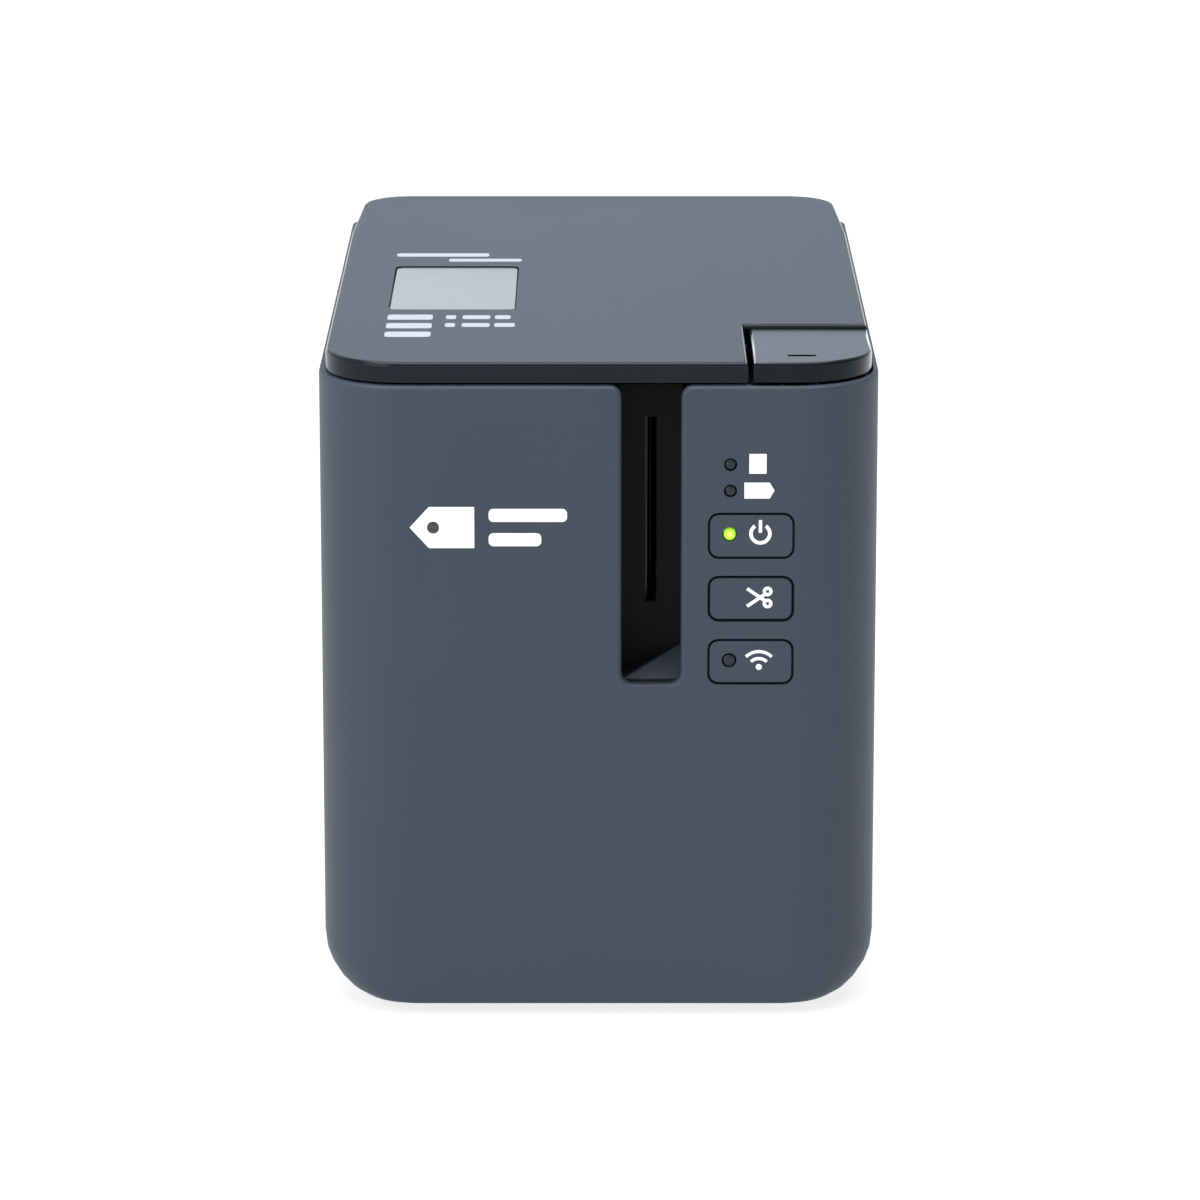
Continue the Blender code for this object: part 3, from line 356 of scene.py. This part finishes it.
# Black plastic painted darker than the dark plastic, as painted shade: for the exit guide deep
# inside the slot, and as the screws' cross recesses
PAINTED_SHADE_BLACK = surface("painted_shade_black", (0.009, 0.010, 0.012), 0.7, specular=0.15, grain=0.03)
WINDOW = surface("window", (0.277, 0.30, 0.316), 0.14, grain=0.002, grain_size=4.0)
ACETAL = surface("acetal", (0.70, 0.69, 0.65), 0.42, grain=0.02)
RUBBER = surface("rubber", (0.02, 0.02, 0.02), 0.8, specular=0.3, grain=0.06)
BLADE_STEEL = surface("blade_steel", (0.05, 0.052, 0.056), 0.45, metallic=1.0, grain=0.01)
STEEL = surface("steel", (0.52, 0.53, 0.55), 0.34, metallic=1.0, grain=0.01, grain_size=0.3)
ALUMINIUM = surface("aluminium", (0.70, 0.71, 0.73), 0.38, metallic=1.0, grain=0.01)
BRASS = surface("brass", (0.66, 0.50, 0.24), 0.32, metallic=1.0, grain=0.01)
BOARD = surface("circuit_board", (0.02, 0.16, 0.07), 0.4, coat=0.4, tint=0.2)
CERAMIC = surface("head_ceramic", (0.52, 0.47, 0.40), 0.25)
CASSETTE = surface("cassette", (0.40, 0.41, 0.43), 0.4, grain=0.03)
FILM = surface("label_film", (0.82, 0.84, 0.86), 0.35)
# The label tape's white film, painted near black as painted shade, since it is seen only deep
# inside the exit slot
FILM_PAINTED_SHADE = surface("film_in_shade", (0.03, 0.032, 0.036), 0.5, specular=0.2)
PAPER = surface("sticker", (0.74, 0.75, 0.76), 0.45)
# White print, with a faint painted glow on top of its lit colour
WHITE_INK_PAINTED_GLOW = surface("white_ink_painted_glow", (0.88, 0.90, 0.93), 0.5, tint=0.02, glow=0.12)
GREY_INK = surface("grey_ink", (0.42, 0.46, 0.52), 0.5, tint=0.04)
DARK_INK = surface("dark_ink", (0.03, 0.035, 0.045), 0.5)
LED_GREEN = surface("led_green", (0.36, 0.80, 0.03), 0.25, glow=0.55)
LED_CORE = surface("led_core", (0.75, 0.95, 0.10), 0.25, glow=0.8)
LED_OFF = surface("led_off", (0.014, 0.018, 0.024), 0.3, specular=0.3)
GOLD = surface("gold_contact", (0.80, 0.58, 0.22), 0.25, metallic=1.0)

LOOKS = {
    "slate_plastic": SLATE, "gloss_black_plastic": GLOSS, "dark_plastic": DARK,
    "window_plastic": WINDOW, "natural_plastic": ACETAL, "rubber": RUBBER, "steel": STEEL,
    "aluminium": ALUMINIUM, "brass": BRASS, "circuit_board": BOARD, "head_ceramic": CERAMIC,
    "cassette_plastic": CASSETTE, "label_tape": FILM, "led_green": LED_GREEN, "led_off": LED_OFF,
}
SPECIAL_LOOKS = {
    "exit_guide": PAINTED_SHADE_BLACK, "release_button": BUTTON_GLOSS, "label_tape": FILM_PAINTED_SHADE,
    "cutter_fixed_blade": BLADE_STEEL, "cutter_moving_blade": BLADE_STEEL,
}


# ---------------------------------------------------------------- shape helpers

def bar(x0, y0, x1, y1):
    """A rectangle's corners, anticlockwise."""
    return [(x0, y0), (x1, y0), (x1, y1), (x0, y1)]


def arc(centre, radius, start, end, steps):
    """Points of a circular arc, angles in degrees."""
    turns = [math.radians(start + (end - start) * i / steps) for i in range(steps + 1)]
    return [(centre[0] + radius * math.cos(t), centre[1] + radius * math.sin(t)) for t in turns]


def disc(centre, radius, steps=24):
    return arc(centre, radius, 0, 360 - 360 / steps, steps - 1)


def band(centre, inner, outer, start, end, steps=20):
    """Part of a ring."""
    return arc(centre, outer, start, end, steps) + arc(centre, inner, end, start, steps)


def ring(centre, inner, outer, steps):
    """A whole ring, closed just short of a full turn so that its ends don't meet."""
    return band(centre, inner, outer, 0, RING_END, steps)


def stroke(a, b, width):
    """A straight line with thickness."""
    a, b = Vector(a), Vector(b)
    side = (b - a).normalized().orthogonal() * width / 2
    return [tuple(a - side), tuple(b - side), tuple(b + side), tuple(a + side)]


def soft_bar(x0, y0, x1, y1, radius, steps=4):
    """A rectangle with round corners."""
    return (arc((x1 - radius, y0 + radius), radius, -90, 0, steps)
            + arc((x1 - radius, y1 - radius), radius, 0, 90, steps)
            + arc((x0 + radius, y1 - radius), radius, 90, 180, steps)
            + arc((x0 + radius, y0 + radius), radius, 180, 270, steps))


# How a point of an outline and its place along an axis become x, y and z
AXES = {
    "X": lambda a, b, t: (t, a, b),
    "Y": lambda a, b, t: (a, t, b),
    "Z": lambda a, b, t: (a, b, t),
}


def prism(bm, outline, axis, low, high):
    """Adds an outline drawn along an axis. low and high are numbers or functions of its points."""
    place = AXES[axis]

    def at(level, point):
        return level(point) if callable(level) else level

    under = [bm.verts.new(Vector(place(*p, at(low, p))) * MM) for p in outline]
    over = [bm.verts.new(Vector(place(*p, at(high, p))) * MM) for p in outline]
    bm.faces.new(under[::-1])
    bm.faces.new(over)
    for i in range(len(outline)):
        j = (i + 1) % len(outline)
        bm.faces.new((under[i], under[j], over[j], over[i]))


def piece(name, bm, look, body, sharp=SHADE_SHARP):
    """A finished object from a bmesh, riding on a body."""
    bmesh.ops.recalc_face_normals(bm, faces=bm.faces)
    mesh = bpy.data.meshes.new(name)
    bm.to_mesh(mesh)
    bm.free()
    mesh.materials.append(look)
    mesh.shade_smooth()
    mesh.set_sharp_from_angle(angle=math.radians(sharp))
    obj = bpy.data.objects.new(name, mesh)
    bpy.context.scene.collection.objects.link(obj)
    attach(obj, body)
    return obj


def prisms(name, outlines, axis, low, high, look, body, round_by=0.0):
    """One object out of several outlines of the same height."""
    bm = bmesh.new()
    for outline in outlines:
        prism(bm, outline, axis, low, high)
    made = piece(name, bm, look, body)
    if round_by:
        bevel = made.modifiers.new("bevel", "BEVEL")
        bevel.limit_method = "ANGLE"
        bevel.width = round_by * MM
        bevel.segments = 2
        made.modifiers.new("normals", "WEIGHTED_NORMAL")
    return made


def turned(name, centre, axis, profile, look, body, steps=32):
    """A turned solid: profile is (radius, place along the axis) from one end to the other."""
    bm = bmesh.new()
    place = AXES[axis]
    rows = []
    for radius, along in profile:
        flat = disc(centre, radius, steps)
        rows.append([bm.verts.new(Vector(place(*p, along)) * MM) for p in flat])
    for lower, upper in zip(rows, rows[1:]):
        for i in range(steps):
            j = (i + 1) % steps
            bm.faces.new((lower[i], lower[j], upper[j], upper[i]))
    bm.faces.new(rows[0])
    bm.faces.new(rows[-1])
    return piece(name, bm, look, body)


# ---------------------------------------------------------------- CAD pieces

def soft_share(edge):
    """Share of SOFT_EDGE for an edge of the case: round the exit slot and outside the rim."""
    middle = (edge.verts[0].co + edge.verts[1].co) / 2 / MM
    at_front = max(vert.co.y for vert in edge.verts) < (FRONT + FRONT_ROOM) * MM
    if at_front and abs(middle.x - SLOT_X) < SLOT_REACH and middle.z > SLOT_LOW:
        return 1.0
    wall, top = sorted((face.normal for face in edge.link_faces), key=lambda normal: normal.z)
    outward = wall.x * middle.x + wall.y * middle.y > 0
    high = middle.z > RIM_LOW and wall.z < WALL_NORMAL_Z and top.z > TOP_NORMAL_Z
    outside = abs(middle.x) > RIM_SIDE or middle.y < RIM_FRONT
    if high and outward and outside and middle.y < RIM_REAR_END:
        forward = (abs(wall.y) - FORWARD[0]) / (FORWARD[1] - FORWARD[0])
        return SIDE_SHARE + (1 - SIDE_SHARE) * min(max(forward, 0.0), 1.0)
    return 0.0


def mark_soft_edges(bm):
    """Weights for the wider bevel of the case."""
    weight = bm.edges.layers.float.new("bevel_weight_edge")
    for edge in bm.edges:
        edge[weight] = soft_share(edge)


def soften(obj):
    """The wider bevel on the edges that have a weight."""
    wide = obj.modifiers.new("soft_edges", "BEVEL")
    wide.limit_method = "WEIGHT"
    wide.width = SOFT_EDGE * MM
    wide.segments = 3
    wide.use_clamp_overlap = False


def round_edges(obj, width):
    """Rounds sharp edges with a bevel, and keeps the flat faces next to them flat."""
    bevel = obj.modifiers.new("bevel", "BEVEL")
    bevel.limit_method = "ANGLE"
    bevel.angle_limit = math.radians(SHARP)
    bevel.width = width * MM
    bevel.segments = 2
    bevel.miter_outer = "MITER_ARC"
    normals = obj.modifiers.new("normals", "WEIGHTED_NORMAL")
    normals.keep_sharp = False


def welded(node):
    """A bmesh of a CAD piece at its place, without doubled vertices."""
    bm = bmesh.new()
    bm.from_mesh(node.data)
    bm.transform(node.matrix_world)
    bmesh.ops.remove_doubles(bm, verts=bm.verts, dist=WELD * MM)
    return bm


def rebuild(name, look):
    """A shown copy of a CAD piece with whole flat faces, and its outermost face set back."""
    body, step = REBUILT[name]
    bm = welded(frame["nodes"][name])
    bmesh.ops.dissolve_limit(bm, angle_limit=math.radians(FLAT), verts=bm.verts, edges=bm.edges)
    face = (FRONT if step > 0 else REAR) * MM
    for vert in bm.verts:
        if abs(vert.co.y - face) < WELD * MM:
            vert.co.y += step * MM
    if name == "main_case":
        mark_soft_edges(bm)
    made = piece(name + "_shell", bm, look, body)
    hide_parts(name)
    if name == "main_case":
        soften(made)
    round_edges(made, EDGES.get(name, EDGE))


def make_spring(look):
    """The release button's spring, as a copy of the CAD coil riding on the case."""
    bm = welded(frame["nodes"]["release_spring"])
    heights = [vert.co.z for vert in bm.verts]
    foot = sum((vert.co for vert in bm.verts), Vector()) / len(bm.verts)
    foot.z = min(heights)
    made = piece("release_spring_coil", bm, look, "case", SPRING_SHARP)
    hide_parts("release_spring")
    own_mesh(made)


def finish(name, node, look):
    """A CAD piece shown as it is, with its look and rounded edges."""
    node.data.materials.clear()
    node.data.materials.append(look)
    node.data.shade_smooth()
    if name in UNROUNDED:
        node.data.set_sharp_from_angle(angle=math.radians(UNROUNDED_SHARP))
        return
    weld = node.modifiers.new("weld", "WELD")
    weld.merge_threshold = WELD * MM
    flat = node.modifiers.new("flat", "DECIMATE")
    flat.decimate_type = "DISSOLVE"
    flat.angle_limit = math.radians(FLAT)
    round_edges(node, EDGES.get(name, EDGE))


def dress_cad():
    """Every CAD piece takes the finish of its slot and rounded edges."""
    for row in frame["record"]["subparts"]:
        name = row["node"]
        slot = row["material_slot"]
        look = SPECIAL_LOOKS.get(name, LOOKS[slot])
        if name == "release_spring":
            make_spring(look)
        elif name in REBUILT:
            rebuild(name, look)
        else:
            finish(name, frame["nodes"][name], look)


dress_cad()


# ---------------------------------------------------------------- front

def front_ink(name, outlines, body="case", look=WHITE_INK_PAINTED_GLOW):
    """Paint on the front. Outlines that cross lie at slightly different depths."""
    bm = bmesh.new()
    for number, outline in enumerate(outlines):
        prism(bm, outline, "Y", FRONT + 0.002 + 0.003 * number, FRONT + PAINT_ROOM + 0.05)
    piece(name, bm, look, body)


def make_case_marks():
    """The two lights' marks and a tag with two plain bars."""
    front_ink("status_mark", [bar(31.4, 117.9, 35.0, 122.1)])
    battery = [(30.4, 112.6), (35.7, 112.6), (36.7, 114.3), (35.7, 116.0), (30.4, 116.0)]
    front_ink("battery_mark", [battery])
    tag = [(-39.5, 106.4), (-35.5, 102.0), (-26.0, 102.0), (-26.0, 110.8), (-35.5, 110.8)]
    long_bar = soft_bar(-23.0, 107.6, -6.6, 110.4, 1.0)
    short_bar = soft_bar(-23.0, 102.4, -12.0, 105.2, 1.0)
    front_ink("tag_mark", [tag, long_bar, short_bar])
    front_ink("tag_mark_hole", [disc(TAG_HOLE, 1.3)], look=SLATE)


def make_key_marks():
    """Marks on the three keys: power, scissors and waves."""
    power = [band(POWER_MARK, 1.6, 2.35, 125, 415, 28), bar(33.45, 105.3, 34.15, 108.0)]
    front_ink("power_mark", power, "power_key")
    cutting = [stroke((31.1, 93.3), (35.0, 90.6), 0.7), stroke((31.1, 89.5), (35.0, 92.2), 0.7)]
    cutting += [ring(eye, 0.35, 1.05, 16) for eye in SCISSOR_EYES]
    front_ink("cut_mark", cutting, "cut_key")
    dot = disc((WAVES[0], WAVES[1] + 0.5), 0.65, 16)
    waves = [band(WAVES, inner, inner + 0.65, 45, 135) for inner in (2.0, 3.5)]
    front_ink("wireless_mark", [dot, *waves], "wireless_key")


def make_ramp_plate():
    """Painted light: a grey plate on half of the slanted floor at the foot of the exit slot, where
    light falls on it.
    """
    def ramp(p):
        return RAMP_FOOT + (p[1] - RAMP_FRONT) * math.tan(math.radians(RAMP_SLANT))

    prisms("exit_ramp_painted_light", [RAMP_PLATE], "Z", lambda p: ramp(p) + 0.02,
           lambda p: ramp(p) + 0.12, RAMP_PAINTED_LIGHT, "case")


def make_leds():
    """Domed light pipes in place of the plain CAD ones."""
    for name, (centre, radius, body) in LEDS.items():
        lit = name == "power_led"
        dome = [(radius, FRONT + DOME_ROOT)]
        for lean in (0, 20, 40, 60, 80):
            angle = math.radians(lean)
            rise = DOME_RISE * math.sin(angle)
            dome.append((radius * math.cos(angle), FRONT + DOME_BASE - rise))
        made = turned(name + "_dome", centre, "Y", dome, LED_GREEN if lit else LED_OFF, body)
        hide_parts(name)
        if lit:
            core = [(0.6, FRONT + 0.5), (0.6, FRONT + 0.03), (0.2, FRONT + 0.02)]
            turned("power_led_core", centre, "Y", core, LED_CORE, body)


make_case_marks()
make_key_marks()
make_ramp_plate()
make_leds()


# ---------------------------------------------------------------- cover

def lid_ink(name, outlines):
    """Paint on the cover's sloping top."""
    prisms(name, outlines, "Z", lambda p: lid_top(p[1]) - INK, lambda p: lid_top(p[1]) + INK,
           GREY_INK, "cover")


def make_lid_marks():
    """Plain bars where the cover has print."""
    rear = [soft_bar(-46.0, 19.6, -25.0, 23.4, 0.9), soft_bar(-34.0, 13.8, -17.5, 17.0, 0.9)]
    lid_ink("lid_marks_rear", rear)
    left = [soft_bar(-45.6, y, -35.8, y + 5.4, 1.0) for y in (-50.7, -59.6, -68.5)]
    right = []
    for y, last in ((-50.0, 3.4), (-58.2, 4.4)):
        for x, wide in ((-33.0, 2.2), (-29.4, 6.0), (-22.4, last)):
            right.append(soft_bar(x, y, x + wide, y + 4.0, 0.8))
    lid_ink("lid_marks_front", left + right)


def under_liner(drop):
    return lambda p: liner_under(p[1]) - drop


def liner_part(name, outlines, drop, root, look=DARK, round_by=0.15):
    """Something that hangs from the liner: it reaches down by drop, and root into the liner."""
    prisms(name, outlines, "Z", under_liner(drop), under_liner(-root), look, "cover",
           round_by)


def make_liner_details():
    """Ribs, pads, a window frame and a card on the underside, seen when the cover is open."""
    along = [bar(-5.0, -84.0, -4.0, 74.0), bar(12.0, -84.0, 13.0, 74.0),
             bar(32.0, -44.0, 33.0, 74.0)]
    liner_part("liner_ribs_along", along, 1.3, 0.3)
    across = [bar(-50.0, 27.0, 50.0, 28.0), bar(-50.0, 50.0, 50.0, 51.0),
              bar(-48.0, -62.0, 22.0, -61.0)]
    liner_part("liner_ribs_across", across, 1.0, 0.3)
    pads = [soft_bar(-44.0, -82.0, -32.0, -76.0, 1.5), soft_bar(-44.0, 62.0, -32.0, 68.0, 1.5),
            soft_bar(36.0, 62.0, 48.0, 68.0, 1.5)]
    liner_part("liner_pads", pads, 1.8, 0.2, RUBBER, 0.3)
    x0, y0, x1, y1 = LINER_HOLE
    rim = LINER_FRAME
    sides = [bar(x0 - rim, y0 - rim, x0, y1 + rim), bar(x1, y0 - rim, x1 + rim, y1 + rim),
             bar(x0, y0 - rim, x1, y0), bar(x0, y1, x1, y1 + rim)]
    liner_part("liner_window_frame", sides, 0.8, 0.2)
    card = [soft_bar(37.0, -30.0, 49.0, 20.0, 1.0)]
    liner_part("liner_card", card, 0.12, 0.1, PAPER, 0.0)
    blocks = ((-27.0, 9.0), (-15.0, 2.0), (-11.5, 2.0), (-4.0, 9.0), (8.0, 2.0), (11.5, 2.0))
    steps = [soft_bar(39.0, y, 47.0, y + deep, 0.5) for y, deep in blocks]
    liner_part("liner_card_marks", steps, 0.15, -0.05, DARK_INK, 0.0)


make_lid_marks()
make_liner_details()


# ---------------------------------------------------------------- deck and cassette

def screw(name, place, axis, base, top, radius):
    """A pan-head screw with a cross recess shown as painted shade, a dark inlay, from base to top.
    """
    up = 1 if top > base else -1
    dome = [(radius, base), (radius, top - 0.35 * up), (radius * 0.85, top - 0.1 * up),
            (radius * 0.6, top)]
    turned(name, place, axis, dome, STEEL, "case", 24)
    x, y = place
    long, short = 0.55 * radius, 0.13 * radius
    cross = [bar(x - long, y - short, x + long, y + short),
             bar(x - short, y - long, x + short, y + long)]
    bm = bmesh.new()
    for number, outline in enumerate(cross):
        ends = sorted((top - 0.3 * up, top + (0.012 + 0.006 * number) * up))
        prism(bm, outline, axis, *ends)
    piece(name + "_recess_painted_shade", bm, PAINTED_SHADE_BLACK, "case")


def on_deck(name, outlines, low, high, look=DARK, round_by=0.2):
    """Something on the deck, from low to high above it."""
    prisms(name, outlines, "Z", DECK + low, DECK + high, look, "case", round_by)


def make_deck():
    ribs = [soft_bar(-44.0, y, 44.0, y + 1.2, 0.5) for y in (42.0, 50.0, 58.0, 66.0, 74.0)]
    on_deck("deck_ribs", ribs, -0.3, 1.0)
    lip = [bar(-55.9, -56.0, -54.8, 32.0), bar(24.2, -56.0, 25.3, 32.0),
           bar(-54.8, 30.8, 24.2, 31.9), bar(-54.8, -56.0, 1.5, -54.9),
           bar(20.9, -56.0, 24.2, -54.9)]
    on_deck("bay_lip", lip, -0.3, 1.2)
    for number, place in enumerate(DECK_SCREWS, 1):
        screw(f"deck_screw_{number}", place, "Z", DECK - 0.2, DECK + 1.2, 2.6)
    card = [soft_bar(30.0, -28.0, 54.0, 24.0, 1.5)]
    on_deck("deck_card", card, -0.05, 0.1, PAPER, 0.0)
    arrow = [(42.0, 20.0), (36.0, 12.0), (40.0, 12.0), (40.0, 4.0), (44.0, 4.0), (44.0, 12.0),
             (48.0, 12.0)]
    rows = ((-3.0, 51.0), (-8.0, 46.0), (-13.0, 51.0), (-18.0, 42.0))
    lines = [soft_bar(33.0, y, x, y + 2.2, 0.6) for y, x in rows]
    on_deck("deck_card_marks", [arrow[::-1], *lines], 0.0, 0.14, DARK_INK, 0.0)


def on_cassette(name, outlines, low, high, look, round_by=0.0):
    """Something on the cassette, from low to high above its top."""
    prisms(name, outlines, "Z", CASSETTE_TOP + low, CASSETTE_TOP + high, look, "case",
           round_by)


def make_cassette():
    """Labels, hub rims, a window and grip ridges on the tape cassette."""
    labels = [soft_bar(-50.0, 14.0, 12.0, 27.0, 1.5), soft_bar(-46.0, -51.0, -7.0, -36.0, 1.5)]
    on_cassette("cassette_labels", labels, -0.1, 0.1, PAPER)
    lines = [soft_bar(-46.0, 21.0, -22.0, 24.0, 0.8), soft_bar(-46.0, 16.5, -32.0, 18.6, 0.6),
             soft_bar(-4.0, 16.5, 8.0, 24.0, 1.0), soft_bar(-43.0, -41.5, -22.0, -39.0, 0.8),
             soft_bar(-43.0, -47.0, -30.0, -44.8, 0.6), soft_bar(-18.0, -47.0, -11.0, -39.0, 1.0)]
    on_cassette("cassette_label_marks", lines, 0.0, 0.14, DARK_INK)
    hubs = [ring(ROLL, 5.2, 6.8, 40), ring(RIBBON, 4.8, 6.2, 40)]
    on_cassette("cassette_hub_rims", hubs, -0.2, 0.5, CASSETTE, 0.12)
    on_cassette("cassette_window", [band(ROLL, 9.5, 19.0, 150, 250, 30)], -0.1, 0.12, WINDOW)
    grips = [bar(x, y, x + 1.4, y + 1.0) for x in (-53.6, 14.2)
             for y in (-8.0, -5.6, -3.2, -0.8, 1.6, 4.0)]
    on_cassette("cassette_grips", grips, -0.3, 0.6, CASSETTE, 0.1)


make_deck()
make_cassette()


# ---------------------------------------------------------------- rear

def rear_plate(name, outlines, thick, look, start=0.05):
    """Something flat on the rear panel, thick above it and start into it."""
    prisms(name, outlines, "Y", PANEL - start, PANEL + thick, look, "case")


def contacts(name, middle, offsets, width, low, high, near, far):
    """Sprung contacts in a socket: offsets along X and heights from its middle, and Y ends."""
    x, z = middle
    outlines = [bar(x + dx - width / 2, z + low, x + dx + width / 2, z + high) for dx in offsets]
    prisms(name, outlines, "Y", near, far, GOLD, "case")


def make_rating_label():
    """A plate with plain bars and a block pattern in place of print."""
    rear_plate("rating_label", [soft_bar(-30.0, 34.0, 30.0, 54.0, 1.5)], 0.08, FILM)
    rows = ((50.0, -4.0), (46.6, 4.0), (43.2, -8.0), (39.8, 0.0), (36.4, -12.0))
    lines = [soft_bar(-27.0, z, x, z + 1.4, 0.5) for z, x in rows]
    blocks = [soft_bar(10.0, 44.0, 26.0, 51.0, 0.6)]
    for i in range(10):
        x = 10.0 + 1.6 * i
        blocks.append(bar(x, 36.4, x + (0.5, 0.9, 0.7)[i % 3], 42.0))
    rear_plate("rating_label_marks", lines + blocks, 0.11, DARK_INK, 0.0)


def make_rear():
    for number, place in enumerate(PANEL_SCREWS, 1):
        screw(f"panel_screw_{number}", place, "Y", PANEL - 0.3, PANEL + 0.24, 2.4)
    make_rating_label()
    dots = [disc((x, 29.0), 1.0, 16) for x in (-33.0, -12.0, 9.0, 31.0)]
    rear_plate("port_marks", dots, 0.04, GREY_INK)
    contacts("usb_device_contacts", USB_DEVICE, (-1.5, 1.5), 0.8, 1.6, 1.7, 86.0, 94.2)
    contacts("usb_host_contacts", USB_HOST, (-3.6, -1.2, 1.2, 3.6), 1.0, -0.1, 0.0, 86.0, 94.2)
    pins = [i - 3.5 for i in range(8)]
    contacts("serial_contacts", SERIAL, pins, 0.4, -1.0, 3.2, 84.52, 84.9)


make_rear()
